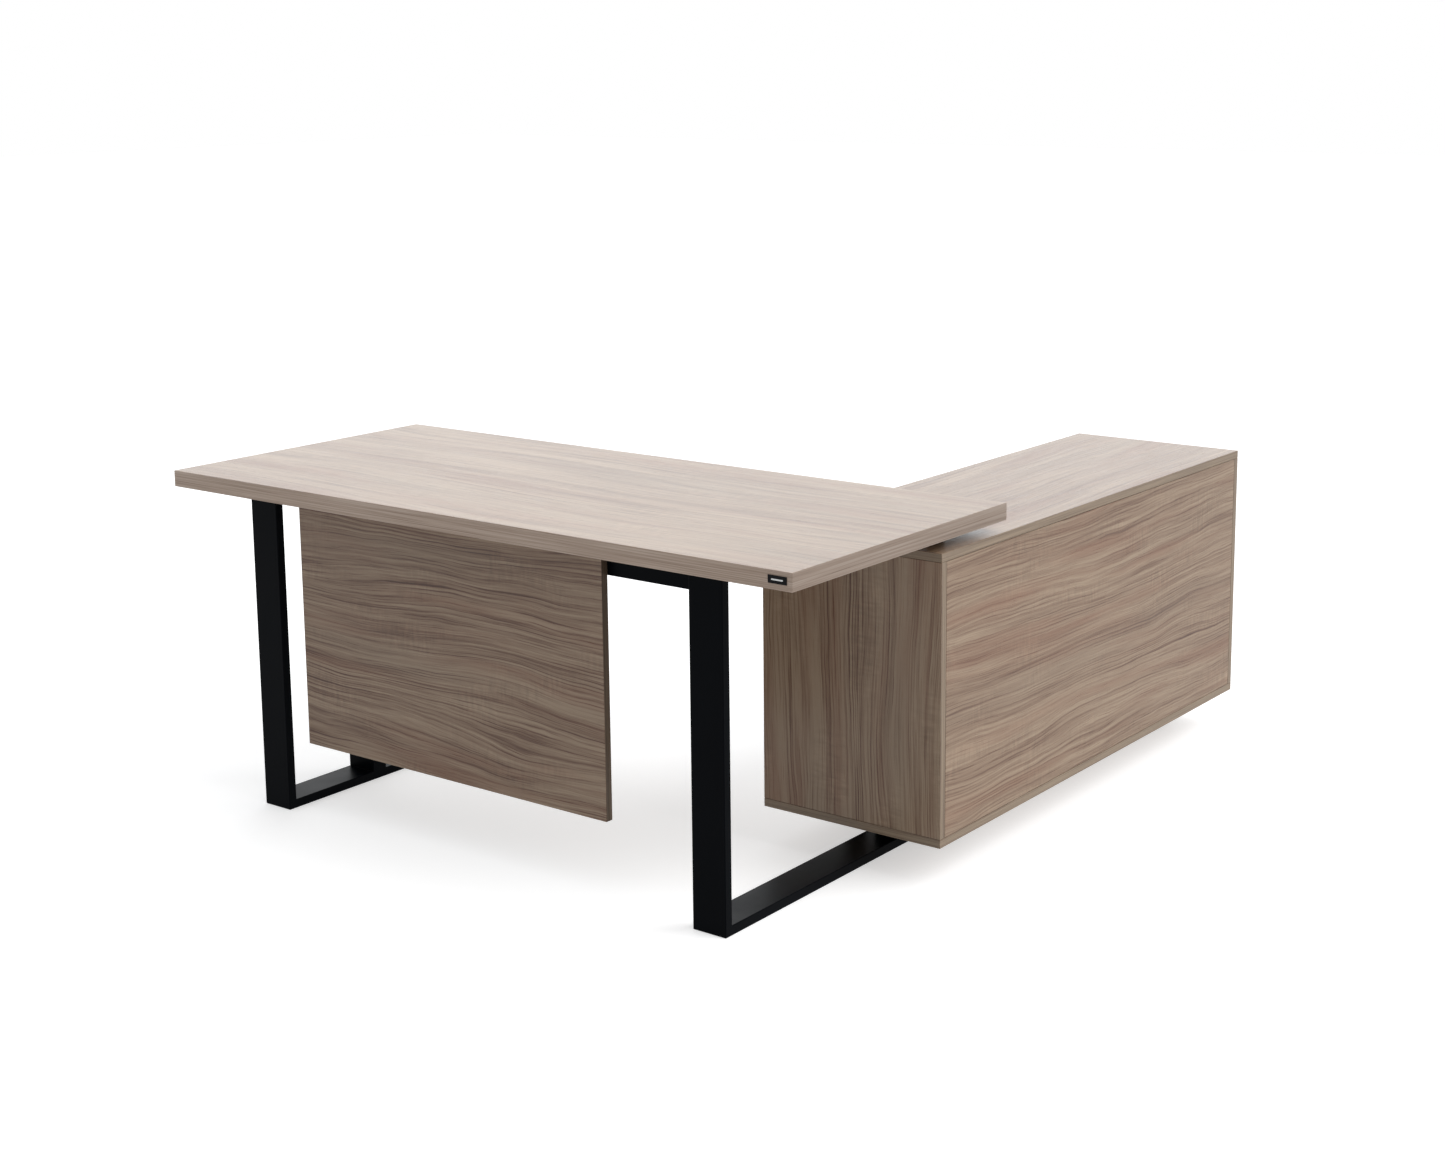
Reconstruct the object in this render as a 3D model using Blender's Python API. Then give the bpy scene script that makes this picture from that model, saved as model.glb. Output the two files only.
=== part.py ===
"""Corner desk: a thick worktop on flat-tube steel frames, with a long low cabinet under one end.

Metres, +Z up. The origin is on the floor under the middle of the whole desk. Visitors face the
-Y side, the sitter is behind the worktop, and the cabinet runs back from the worktop's +X end.
"""
import math

import bmesh
import bpy
from mathutils import Vector

# Driving dimensions
FIT_GAP = 0.0003            # left between faces that touch
SHADOW_GAP = 0.0006         # thin joint round the cabinet's inset back panel
DESK_HEIGHT = 0.750
DESK_DEPTH = 1.860          # from the visitors' edge to the cabinet's far end

WORKTOP_LENGTH = 1.700
WORKTOP_DEPTH = 0.745
WORKTOP_THICKNESS = 0.036
BOARD = 0.018               # cabinet boards and modesty panel
ARRIS = 0.0008              # softened corners of edge-banded boards

TUBE_WIDTH = 0.080          # flat tube of the leg frames
TUBE_THICKNESS = 0.020
TUBE_WALL = 0.002
TUBE_CORNER = 0.0015
TUBE_SCREW_HOLE = 0.0035    # radius of the holes through the top rails
TUBE_SCREW_PLACES = (0.12, 0.50, 0.88)      # shares of the frame's depth
LEG_END_INSET = 0.196       # worktop end to frame
LEG_FRONT_INSET = 0.050     # worktop front edge to frame
FRAME_DEPTH = 0.645
MIDDLE_POST_SETBACK = 0.253     # front of frame to the left frame's middle post
MIDDLE_POST_DEPTH = 0.040

BEAM_DEPTH = 0.025
BEAM_HEIGHT = 0.055
BEAM_WALL = 0.002
BEAM_PLATE = 0.004
BEAM_START_X = -0.504       # hidden by the modesty panel from the visitors' side
BEAM_FOLD_LENGTH = 0.050    # the left plate's fold under the worktop
BEAM_FOLD_DEPTH = 0.0155

MODESTY_WIDTH = 0.865
MODESTY_CENTRE_X = -0.090
MODESTY_FLOOR_GAP = 0.160

BRACKET_WIDTH = 0.050
BRACKET_DROP = 0.080
BRACKET_STEEL = 0.003

CABINET_WIDTH = 0.438
CABINET_LENGTH = 1.362
CABINET_FLOOR_GAP = 0.084
CABINET_HEIGHT = 0.606
BAYS = 3
FRONT_GAP = 0.002           # round inset drawer fronts and the door

SPACER_RADIUS = 0.020
CABINET_FOOT_RADIUS = 0.025
BADGE = (0.042, 0.0010, 0.015)
BADGE_END_INSET = 0.0115
BADGE_TOP_INSET = 0.009

HANDLE_LENGTH = 0.168
HANDLE_REACH = 0.030
HANDLE_BAR = 0.008
HANDLE_WIDTH = 0.010

DRAWERS = ("bottom", "middle", "top")
DRAWER_BOX_DEPTH = 0.360
DRAWER_BOX_HEIGHT = 0.130
DRAWER_SIDE = 0.012
DRAWER_BASE = 0.008
RUNNER_SPACE = 0.013        # between drawer box and cabinet side
RUNNER_LENGTH = 0.340
RUNNER_HEIGHT = 0.045

HINGE_HEIGHT = 0.060
HINGE_BARREL_RADIUS = 0.003
HINGE_PIN_RADIUS = 0.0014
HINGE_BORE_RADIUS = 0.0018
HINGE_LEAF = 0.001
HINGE_LEAF_DEPTH = 0.016
HINGE_SIDE_GAP = 0.003      # door edge to end panel, where the leaves lie

SHELF_PIN_RADIUS = 0.0025
SHELF_PIN_LENGTH = 0.010
SHELF_SETBACK = 0.033

# Places worked out from them
END_X = WORKTOP_LENGTH / 2
BADGE_STANDOFF = FIT_GAP + BADGE[1]
FRONT_Y = -(DESK_DEPTH + BADGE_STANDOFF) / 2 + BADGE_STANDOFF
FAR_Y = FRONT_Y + DESK_DEPTH
WORKTOP_UNDER = DESK_HEIGHT - WORKTOP_THICKNESS
FRAME_Y = FRONT_Y + LEG_FRONT_INSET
FRAME_BACK_Y = FRAME_Y + FRAME_DEPTH
FRAME_TOP = WORKTOP_UNDER - FIT_GAP
LEG_INNER_X = END_X - LEG_END_INSET - TUBE_WIDTH
MODESTY_Y = FRAME_Y + TUBE_THICKNESS
BEAM_Y = MODESTY_Y + BOARD + FIT_GAP
BEAM_Z = FRAME_TOP - BEAM_HEIGHT

CABINET_X = END_X - CABINET_WIDTH
CABINET_Y = FAR_Y - CABINET_LENGTH
CABINET_TOP = CABINET_FLOOR_GAP + CABINET_HEIGHT
INSIDE_Z = CABINET_FLOOR_GAP + BOARD
INSIDE_TOP = CABINET_TOP - BOARD
BACK_PANEL_X = END_X - BOARD
BAY_WIDTH = (CABINET_LENGTH - (BAYS + 1) * BOARD) / BAYS


def bay_start(index):
    """Y of the inner face where bay 0, 1 or 2 starts, counted from the worktop."""
    return CABINET_Y + BOARD + index * (BAY_WIDTH + BOARD)


def clear_scene():
    for old in list(bpy.data.objects):
        bpy.data.objects.remove(old, do_unlink=True)


def finish(name, colour, roughness, metallic=0.0):
    """One Principled material; every object gets its own."""
    mat = bpy.data.materials.new(name + "_finish")
    mat.use_nodes = True
    shader = mat.node_tree.nodes["Principled BSDF"]
    shader.inputs["Base Color"].default_value = (*colour, 1.0)
    shader.inputs["Roughness"].default_value = roughness
    shader.inputs["Metallic"].default_value = metallic
    mat.diffuse_color = (*colour, 1.0)
    return mat


WOOD = ((0.42, 0.32, 0.25), 0.38)
BLACK_STEEL = ((0.012, 0.013, 0.018), 0.36, 0.0)
ZINC = ((0.55, 0.56, 0.58), 0.35, 1.0)
DRAWER_BOARD = ((0.52, 0.51, 0.49), 0.5)
BLACK_PLASTIC = ((0.015, 0.015, 0.016), 0.45)


def add_object(name, bm, look, parent=None):
    """Turn a bmesh in world places into a named object, held by its parent empty if it moves."""
    bmesh.ops.recalc_face_normals(bm, faces=bm.faces)
    offset = parent.location if parent else Vector((0.0, 0.0, 0.0))
    bmesh.ops.translate(bm, vec=-offset, verts=bm.verts)
    mesh = bpy.data.meshes.new(name)
    bm.to_mesh(mesh)
    bm.free()
    obj = bpy.data.objects.new(name, mesh)
    bpy.context.scene.collection.objects.link(obj)
    obj.parent = parent
    if look:
        mesh.materials.append(finish(name, *look))
    return obj


def box(low, high):
    bm = bmesh.new()
    bmesh.ops.create_cube(bm, size=1.0)
    for vert in bm.verts:
        for axis in range(3):
            vert.co[axis] = low[axis] if vert.co[axis] < 0.0 else high[axis]
    return bm


def cylinder(start, length, radius, axis="Z", sides=24):
    """A round bar from start, running along +X, +Y or +Z."""
    bm = bmesh.new()
    direction = Vector((axis == "X", axis == "Y", axis == "Z"))
    turn = Vector((0.0, 0.0, 1.0)).rotation_difference(direction).to_matrix().to_4x4()
    turn.translation = Vector(start) + direction * length / 2
    bmesh.ops.create_cone(
        bm, cap_ends=True, segments=sides, radius1=radius, radius2=radius,
        depth=length, matrix=turn)
    return bm


def prism(outline, sweep):
    """A flat outline of 3D points, extruded by the vector sweep."""
    bm = bmesh.new()
    face = bm.faces.new([bm.verts.new(point) for point in outline])
    moved = bmesh.ops.extrude_face_region(bm, geom=[face])["geom"]
    verts = [item for item in moved if isinstance(item, bmesh.types.BMVert)]
    bmesh.ops.translate(bm, vec=Vector(sweep), verts=verts)
    return bm


def soften(obj, width, segments=2):
    bevel = obj.modifiers.new("softened_corners", "BEVEL")
    bevel.width = width
    bevel.segments = segments
    bevel.limit_method = "ANGLE"
    bevel.angle_limit = math.radians(40)
    bevel.use_clamp_overlap = True
    return obj


def combine(obj, bm, operation, label):
    """Cut or add a shape with a Boolean, through a hidden guide."""
    guide = add_object(obj.name + "_" + label, bm, None, obj.parent)
    guide.hide_render = True
    guide.display_type = "WIRE"
    change = obj.modifiers.new(label, "BOOLEAN")
    change.operation = operation
    change.solver = "EXACT"
    change.object = guide
    return obj


def smooth_round(obj):
    obj.data.shade_smooth()
    obj.data.set_sharp_from_angle(angle=math.radians(35))
    return obj


def axis_empty(name, place):
    empty = bpy.data.objects.new(name, None)
    empty.location = place
    empty.empty_display_size = 0.05
    bpy.context.scene.collection.objects.link(empty)
    return empty


def board(name, low, high, parent=None):
    return soften(add_object(name, box(low, high), WOOD, parent), ARRIS)


def worktop():
    board("worktop", (-END_X, FRONT_Y, WORKTOP_UNDER), (END_X, FRONT_Y + WORKTOP_DEPTH, DESK_HEIGHT))


def badge():
    high_x = END_X - BADGE_END_INSET
    high_z = DESK_HEIGHT - BADGE_TOP_INSET
    low = (high_x - BADGE[0], FRONT_Y - BADGE_STANDOFF, high_z - BADGE[2])
    plate = add_object("badge_plate", box(low, (high_x, FRONT_Y - FIT_GAP, high_z)), BLACK_PLASTIC)
    soften(plate, 0.0003)


def hollow_out(frame, low_x, runs):
    """Turn solid bars into tube: runs are each bar's (low y, low z), (high y, high z) outside."""
    wall = TUBE_WALL
    for index, ((y0, z0), (y1, z1)) in enumerate(runs):
        low = (low_x + wall, y0 + wall, z0 + wall)
        high = (low_x + TUBE_WIDTH - wall, y1 - wall, z1 - wall)
        combine(frame, box(low, high), "DIFFERENCE", f"inside_{index + 1}")
    for index, share in enumerate(TUBE_SCREW_PLACES):
        place = (low_x + TUBE_WIDTH / 2, FRAME_Y + share * FRAME_DEPTH, FRAME_TOP - 2 * TUBE_THICKNESS)
        hole = cylinder(place, 3 * TUBE_THICKNESS, TUBE_SCREW_HOLE, sides=16)
        combine(frame, hole, "DIFFERENCE", f"screw_hole_{index + 1}")


def left_leg_frame():
    """A closed loop of flat tube under the worktop, with a middle post standing on its foot rail."""
    low_x = -LEG_INNER_X - TUBE_WIDTH
    high_x = -LEG_INNER_X
    tube = TUBE_THICKNESS
    frame = add_object(
        "left_leg_frame", box((low_x, FRAME_Y, 0.0), (high_x, FRAME_BACK_Y, FRAME_TOP)), BLACK_STEEL)
    post_y = FRAME_Y + MIDDLE_POST_SETBACK
    post_back_y = post_y + MIDDLE_POST_DEPTH
    for index, (start, end) in enumerate(
            ((FRAME_Y + tube, post_y), (post_back_y, FRAME_BACK_Y - tube))):
        low = (low_x - TUBE_WIDTH, start, tube)
        high = (high_x + TUBE_WIDTH, end, FRAME_TOP - tube)
        combine(frame, box(low, high), "DIFFERENCE", f"opening_{index + 1}")
    soften(frame, TUBE_CORNER)
    hollow_out(frame, low_x, (
        ((FRAME_Y, 0.0), (FRAME_BACK_Y, tube)),
        ((FRAME_Y, FRAME_TOP - tube), (FRAME_BACK_Y, FRAME_TOP)),
        ((FRAME_Y, 0.0), (FRAME_Y + tube, FRAME_TOP)),
        ((post_y, 0.0), (post_back_y, FRAME_TOP)),
        ((FRAME_BACK_Y - tube, 0.0), (FRAME_BACK_Y, FRAME_TOP)),
    ))


def right_leg_frame():
    """A frame open at the back: its rails pass over and under the cabinet, which bolts to them."""
    y0, y1 = FRAME_Y, FRAME_BACK_Y
    tube = TUBE_THICKNESS
    stub_top = CABINET_FLOOR_GAP - FIT_GAP
    outline = (
        (y0, 0.0), (y1, 0.0), (y1, stub_top), (y1 - tube, stub_top), (y1 - tube, tube),
        (y0 + tube, tube), (y0 + tube, FRAME_TOP - tube), (y1, FRAME_TOP - tube),
        (y1, FRAME_TOP), (y0, FRAME_TOP),
    )
    points = [(LEG_INNER_X, y, z) for y, z in outline]
    frame = add_object("right_leg_frame", prism(points, (TUBE_WIDTH, 0.0, 0.0)), BLACK_STEEL)
    soften(frame, TUBE_CORNER)
    hollow_out(frame, LEG_INNER_X, (
        ((y0, 0.0), (y1, tube)),
        ((y0, FRAME_TOP - tube), (y1, FRAME_TOP)),
        ((y0, 0.0), (y0 + tube, FRAME_TOP)),
        ((y1 - tube, 0.0), (y1, stub_top)),
    ))


def front_beam():
    """Rectangular tube from behind the modesty panel to the right frame, with a plate at each end.

    The right plate bolts to the frame; the left one folds over under the worktop.
    """
    reach = LEG_INNER_X - FIT_GAP
    back_y = BEAM_Y + BEAM_DEPTH
    low = (BEAM_START_X + BEAM_PLATE, BEAM_Y, BEAM_Z)
    high = (reach - BEAM_PLATE, back_y, FRAME_TOP)
    tube = add_object("front_beam", box(low, high), BLACK_STEEL)
    inner_low = (-END_X, low[1] + BEAM_WALL, low[2] + BEAM_WALL)
    inner_high = (END_X, high[1] - BEAM_WALL, high[2] - BEAM_WALL)
    combine(tube, box(inner_low, inner_high), "DIFFERENCE", "bore")
    right = box(
        (reach - BEAM_PLATE + FIT_GAP, BEAM_Y - 0.010, BEAM_Z), (reach, back_y + 0.060, FRAME_TOP))
    soften(add_object("beam_end_plate_right", right, BLACK_STEEL), 0.0005)
    high_x = BEAM_START_X + BEAM_PLATE - FIT_GAP
    fold_back_y = back_y + BEAM_FOLD_DEPTH
    upright = box((BEAM_START_X, BEAM_Y, BEAM_Z), (high_x, fold_back_y, FRAME_TOP))
    left = add_object("beam_end_plate_left", upright, BLACK_STEEL)
    fold = box(
        (high_x - BEAM_PLATE / 2, back_y + FIT_GAP, FRAME_TOP - BEAM_PLATE),
        (BEAM_START_X + BEAM_FOLD_LENGTH, fold_back_y, FRAME_TOP))
    combine(left, fold, "UNION", "fold")


def modesty_panel():
    half = MODESTY_WIDTH / 2
    board(
        "modesty_panel",
        (MODESTY_CENTRE_X - half, MODESTY_Y, MODESTY_FLOOR_GAP),
        (MODESTY_CENTRE_X + half, MODESTY_Y + BOARD, WORKTOP_UNDER - FIT_GAP))


def modesty_brackets():
    """Angle brackets: one leg screwed up into the beam, the other into the panel's back."""
    y0 = BEAM_Y
    top = BEAM_Z - FIT_GAP
    thick = BRACKET_STEEL
    outline = (
        (y0, top), (y0 + BEAM_DEPTH, top), (y0 + BEAM_DEPTH, top - thick),
        (y0 + thick, top - thick), (y0 + thick, top - BRACKET_DROP), (y0, top - BRACKET_DROP),
    )
    for index, share in enumerate((-0.4, 0.0, 0.4)):
        start = MODESTY_CENTRE_X + share * MODESTY_WIDTH - BRACKET_WIDTH / 2
        points = [(start, y, z) for y, z in outline]
        bracket = add_object(
            f"modesty_bracket_{index + 1}", prism(points, (BRACKET_WIDTH, 0.0, 0.0)), BLACK_STEEL)
        soften(bracket, 0.0005)


def worktop_spacers():
    """Round spacers that carry the worktop on the cabinet's top board."""
    height = WORKTOP_UNDER - CABINET_TOP - 2 * FIT_GAP
    middle_x = LEG_INNER_X + TUBE_WIDTH / 2
    places = [(middle_x + dx, y) for dx in (-0.150, 0.095) for y in (-0.335, -0.235)]
    for index, (x, y) in enumerate(places):
        spacer = cylinder((x, y, CABINET_TOP + FIT_GAP), height, SPACER_RADIUS)
        smooth_round(soften(add_object(f"worktop_spacer_{index + 1}", spacer, BLACK_PLASTIC), 0.001))


def cabinet_carcass():
    """Top and bottom run right through; the ends, back and dividers stand between them."""
    board("cabinet_bottom", (CABINET_X, CABINET_Y, CABINET_FLOOR_GAP), (END_X, FAR_Y, INSIDE_Z))
    board("cabinet_top", (CABINET_X, CABINET_Y, INSIDE_TOP), (END_X, FAR_Y, CABINET_TOP))
    low_z = INSIDE_Z + FIT_GAP
    high_z = INSIDE_TOP - FIT_GAP
    for name, y in (("near", CABINET_Y), ("far", FAR_Y - BOARD)):
        board(f"cabinet_end_{name}", (CABINET_X, y, low_z), (END_X, y + BOARD, high_z))
    board(
        "cabinet_back",
        (BACK_PANEL_X, CABINET_Y + BOARD + SHADOW_GAP, INSIDE_Z + SHADOW_GAP),
        (END_X, FAR_Y - BOARD - SHADOW_GAP, INSIDE_TOP - SHADOW_GAP))
    for name, index in (("near", 1), ("far", 2)):
        y = bay_start(index) - BOARD
        board(
            f"cabinet_divider_{name}",
            (CABINET_X, y, low_z), (BACK_PANEL_X - FIT_GAP, y + BOARD, high_z))


def cabinet_feet():
    """Round moulded feet, set back where the cabinet hides them."""
    height = CABINET_FLOOR_GAP - FIT_GAP
    for name_y, y in (("near", CABINET_Y + 0.240), ("far", FAR_Y - 0.110)):
        for name_x, x in (("inner", CABINET_X + 0.070), ("outer", END_X - 0.150)):
            foot = cylinder((x, y, 0.0), height, CABINET_FOOT_RADIUS)
            smooth_round(soften(
                add_object(f"cabinet_foot_{name_y}_{name_x}", foot, BLACK_PLASTIC), 0.0015))


def shelves():
    """A fixed shelf in the open bay, and one on pins behind the door."""
    middle = (INSIDE_Z + INSIDE_TOP - BOARD) / 2
    high_x = BACK_PANEL_X - FIT_GAP
    for name, bay, setback, fit in (
            ("open_bay_shelf", 1, 0.010, FIT_GAP), ("door_bay_shelf", 2, SHELF_SETBACK, 0.001)):
        start = bay_start(bay)
        board(
            name, (CABINET_X + setback, start + fit, middle),
            (high_x, start + BAY_WIDTH - fit, middle + BOARD))
    start = bay_start(2)
    level = middle - FIT_GAP - SHELF_PIN_RADIUS
    sides = (("near", start + FIT_GAP), ("far", start + BAY_WIDTH - FIT_GAP - SHELF_PIN_LENGTH))
    for side, y in sides:
        for depth, x in (("front", CABINET_X + 0.080), ("rear", BACK_PANEL_X - 0.050)):
            pin = cylinder((x, y, level), SHELF_PIN_LENGTH, SHELF_PIN_RADIUS, "Y", 12)
            smooth_round(add_object(f"shelf_pin_{side}_{depth}", pin, ZINC))


def handle(name, centre, upright, parent):
    """A bow of flat bar standing off the face at x = centre.x, towards -X."""
    half = HANDLE_LENGTH / 2
    outline = (
        (-half, 0.0), (-half, HANDLE_REACH), (half, HANDLE_REACH), (half, 0.0),
        (half - HANDLE_BAR, 0.0), (half - HANDLE_BAR, HANDLE_REACH - HANDLE_BAR),
        (HANDLE_BAR - half, HANDLE_REACH - HANDLE_BAR), (HANDLE_BAR - half, 0.0),
    )
    along = Vector((0.0, 0.0, 1.0)) if upright else Vector((0.0, 1.0, 0.0))
    across = Vector((0.0, 1.0, 0.0)) if upright else Vector((0.0, 0.0, 1.0))
    start = Vector(centre) - across * HANDLE_WIDTH / 2 - Vector((FIT_GAP, 0.0, 0.0))
    points = [start + along * a - Vector((reach, 0.0, 0.0)) for a, reach in outline]
    bow = add_object(name, prism(points, across * HANDLE_WIDTH), BLACK_STEEL, parent)
    smooth_round(soften(bow, 0.0012))


def runner_pair(name, wall_y, direction, middle_z, slide):
    """A fixed channel on the cabinet and the bar that runs in it with the drawer."""
    x0 = CABINET_X + BOARD + 0.004
    half = RUNNER_HEIGHT / 2
    wall = 0.0015
    depths = [wall_y + direction * d for d in (FIT_GAP, FIT_GAP + wall, 0.0095)]
    outline = (
        (depths[0], -half), (depths[2], -half), (depths[2], wall - half), (depths[1], wall - half),
        (depths[1], half - wall), (depths[2], half - wall), (depths[2], half), (depths[0], half),
    )
    points = [(x0, y, middle_z + z) for y, z in outline]
    add_object(name + "_channel", prism(points, (RUNNER_LENGTH, 0.0, 0.0)), ZINC)
    ends = sorted((wall_y + direction * 0.0030, wall_y + direction * (RUNNER_SPACE - FIT_GAP)))
    bar_half = half - 0.006
    low = (x0 + 0.002, ends[0], middle_z - bar_half)
    high = (x0 + RUNNER_LENGTH - 0.010, ends[1], middle_z + bar_half)
    soften(add_object(name + "_bar", box(low, high), ZINC, slide), 0.0008)


def drawer(level, label):
    """An inset front with a bow handle, an open box behind it, and a runner each side."""
    start = bay_start(0)
    pitch = (INSIDE_TOP - INSIDE_Z - FRONT_GAP) / len(DRAWERS)
    low_z = INSIDE_Z + FRONT_GAP + level * pitch
    high_z = low_z + pitch - FRONT_GAP
    middle_y = start + BAY_WIDTH / 2
    slide = axis_empty(f"drawer_{label}_slide", (CABINET_X, middle_y, (low_z + high_z) / 2))
    board(
        f"drawer_{label}_front", (CABINET_X, start + FRONT_GAP, low_z),
        (CABINET_X + BOARD, start + BAY_WIDTH - FRONT_GAP, high_z), slide)
    box_x = CABINET_X + BOARD + FIT_GAP
    box_z = low_z + 0.018
    low = Vector((box_x, start + RUNNER_SPACE, box_z))
    high = Vector((
        box_x + DRAWER_BOX_DEPTH, start + BAY_WIDTH - RUNNER_SPACE, box_z + DRAWER_BOX_HEIGHT))
    tray = add_object(f"drawer_{label}_box", box(low, high), DRAWER_BOARD, slide)
    inner_low = low + Vector((DRAWER_SIDE, DRAWER_SIDE, DRAWER_BASE))
    inner_high = high + Vector((-DRAWER_SIDE, -DRAWER_SIDE, 0.02))
    combine(tray, box(inner_low, inner_high), "DIFFERENCE", "inside")
    soften(tray, 0.0006, 1)
    handle(f"drawer_{label}_handle", (CABINET_X, middle_y, high_z - 0.045), False, slide)
    runner_z = box_z + DRAWER_BOX_HEIGHT / 2
    runner_pair(f"drawer_{label}_left_runner", start, 1.0, runner_z, slide)
    runner_pair(f"drawer_{label}_right_runner", start + BAY_WIDTH, -1.0, runner_z, slide)


def hinge_half(name, place, leaf_y, barrel_z, bore, parent):
    """One half of a lift-off hinge: a leaf in the door's side gap and its half of the barrel."""
    x, y, z = place
    half = HINGE_HEIGHT / 2
    barrel = cylinder((x, y, z + barrel_z), half - FIT_GAP, HINGE_BARREL_RADIUS, "Z", 20)
    part = add_object(name, barrel, ZINC, parent)
    tab = box(
        (x, leaf_y, z + barrel_z), (CABINET_X + 0.002, leaf_y + HINGE_LEAF, z + barrel_z + half - FIT_GAP))
    combine(part, tab, "UNION", "tab")
    leaf = box(
        (CABINET_X + 0.0015, leaf_y, z - half), (CABINET_X + HINGE_LEAF_DEPTH, leaf_y + HINGE_LEAF, z + half))
    combine(part, leaf, "UNION", "leaf")
    if bore:
        hole = cylinder((x, y, z + barrel_z - 0.001), half * 0.8, HINGE_BORE_RADIUS, "Z", 20)
        combine(part, hole, "DIFFERENCE", "bore")
    else:
        pin = cylinder((x, y, z + barrel_z + half * 0.5), half * 1.1, HINGE_PIN_RADIUS, "Z", 16)
        combine(part, pin, "UNION", "pin")


def door_bay():
    """An inset door on two lift-off hinges, hung from the far end panel."""
    start = bay_start(2)
    wall_y = start + BAY_WIDTH
    axis_x = CABINET_X - HINGE_BARREL_RADIUS - 0.001
    axis_y = wall_y - HINGE_SIDE_GAP / 2
    low_z = INSIDE_Z + FRONT_GAP
    high_z = INSIDE_TOP - FRONT_GAP
    axis = axis_empty("door_hinge_axis", (axis_x, axis_y, (low_z + high_z) / 2))
    board(
        "door", (CABINET_X, start + FRONT_GAP, low_z),
        (CABINET_X + BOARD, wall_y - HINGE_SIDE_GAP, high_z), axis)
    handle(
        "door_handle", (CABINET_X, start + FRONT_GAP + 0.045, high_z - 0.045 - HANDLE_LENGTH / 2),
        True, axis)
    half = HINGE_HEIGHT / 2
    for label, z in (("lower", low_z + 0.090), ("upper", high_z - 0.090)):
        place = (axis_x, axis_y, z)
        hinge_half(
            f"door_hinge_{label}_fixed", place, wall_y - FIT_GAP - HINGE_LEAF, -half, False, None)
        hinge_half(
            f"door_hinge_{label}_leaf", place, wall_y - HINGE_SIDE_GAP + FIT_GAP, FIT_GAP, True, axis)


def main():
    clear_scene()
    worktop()
    badge()
    left_leg_frame()
    right_leg_frame()
    front_beam()
    modesty_panel()
    modesty_brackets()
    worktop_spacers()
    cabinet_carcass()
    cabinet_feet()
    shelves()
    for level, label in enumerate(DRAWERS):
        drawer(level, label)
    door_bay()


main()
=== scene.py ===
"""Looks of the corner desk: wood-grain melamine boards, powder-coated steel frames, fittings."""
import math

import bmesh
import bpy
from mathutils import Matrix, Vector


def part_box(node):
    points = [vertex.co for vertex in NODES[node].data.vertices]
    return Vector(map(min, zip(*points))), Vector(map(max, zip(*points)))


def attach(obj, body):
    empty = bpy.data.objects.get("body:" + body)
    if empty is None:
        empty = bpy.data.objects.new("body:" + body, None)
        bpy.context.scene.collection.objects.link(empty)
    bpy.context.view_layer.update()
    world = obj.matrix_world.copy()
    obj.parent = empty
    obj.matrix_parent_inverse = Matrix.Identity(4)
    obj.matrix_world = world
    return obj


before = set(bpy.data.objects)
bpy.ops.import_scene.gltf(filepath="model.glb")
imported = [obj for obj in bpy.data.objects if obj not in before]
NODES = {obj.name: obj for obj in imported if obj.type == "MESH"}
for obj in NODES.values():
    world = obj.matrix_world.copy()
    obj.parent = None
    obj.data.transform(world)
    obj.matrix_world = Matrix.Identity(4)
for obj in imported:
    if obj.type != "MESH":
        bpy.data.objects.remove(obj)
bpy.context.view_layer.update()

# Camera, in the desk's own frame: its place in metres and its lens in millimetres
CAMERA_PLACE = (3.0406, -3.9455, 1.6515)
CAMERA_TURN = math.radians(36.67)
CAMERA_TILT = math.radians(-10.15)
CAMERA_ROLL = math.radians(-0.41)
CAMERA_LENS = 54.0
CAMERA_SHIFT = (-0.0303, -0.0914)

# Light: a broad sun from the cabinet's side, a soft room with a bright ceiling, and a low bright
# wall behind the desk
SUN_FROM = (0.72, 0.28, 0.63)
SUN_STRENGTH = 2.2
SUN_ANGLE = math.radians(50)            # its width in the sky, for soft shadows
ROOM_COLOUR = "#f9fbfd"
ROOM_DIM, ROOM_BRIGHT = 0.30, 0.34
WALL_FROM = (-0.55, 0.81, 0.20)
WALL_EDGES = (0.62, 0.97)   # cosines of the angles where the wall begins and where it is full
WALL_STRENGTH = 1.46
CEILING_EDGES = (0.70, 0.86)            # sines of such angles above the floor
CEILING_STRENGTH = 0.9
FLOOR_SIZE = 60.0
FLOOR_DROP = 0.0005         # metres below the feet
FLOOR_PAINT = ("#a6a6a6", "#dddddd")    # as it lights the desk, and as the camera sees it
FLOOR_GLOW = (0.30, 0.50)   # the same; the second makes the floor white up to the feet

# Fittings, metres; a screw head, bolt head, sleeve or cap is its radius and height
SCREW = (0.0045, 0.0026)
SMALL_SCREW = (0.0035, 0.0022)
BOLT = (0.0055, 0.0034)
SOCKET_SHARE = 0.42         # hex socket across its corners, as a share of the head
SHARP_ANGLE = math.radians(32)
RAIL_HEIGHT = 0.020         # a leg frame's top rail
RAIL_SCREWS = (0.12, 0.50, 0.88)        # along the rail, as shares of its length
BEAM_BOLTS = (0.012, 0.042)             # in from the rear edge of the right end plate
BEAM_BOLT_DROP = 0.010
FOLD_THICKNESS = 0.004                  # the left end plate's fold under the worktop
FOLD_SCREWS = (0.017, 0.038)            # along the fold
FOLD_SCREW_INSET = 0.0075
BRACKET_THICKNESS = 0.003
BRACKET_SCREW_SIDE = 0.014              # in from the bracket's ends
BRACKET_SCREW_INSET = 0.0095            # in from its rear edge
BRACKET_SCREW_RISE = 0.022              # up from its lower edge
SLEEVE_PITCH = 0.032
SLEEVES_EACH_WAY = 5                    # above and below a shelf pin
SLEEVE = (0.0036, 0.0004)
CAP = (0.0085, 0.0012)
CAP_FRONT, CAP_REAR, CAP_LEVEL = 0.045, 0.075, 0.034    # in from the boards that meet there
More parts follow.
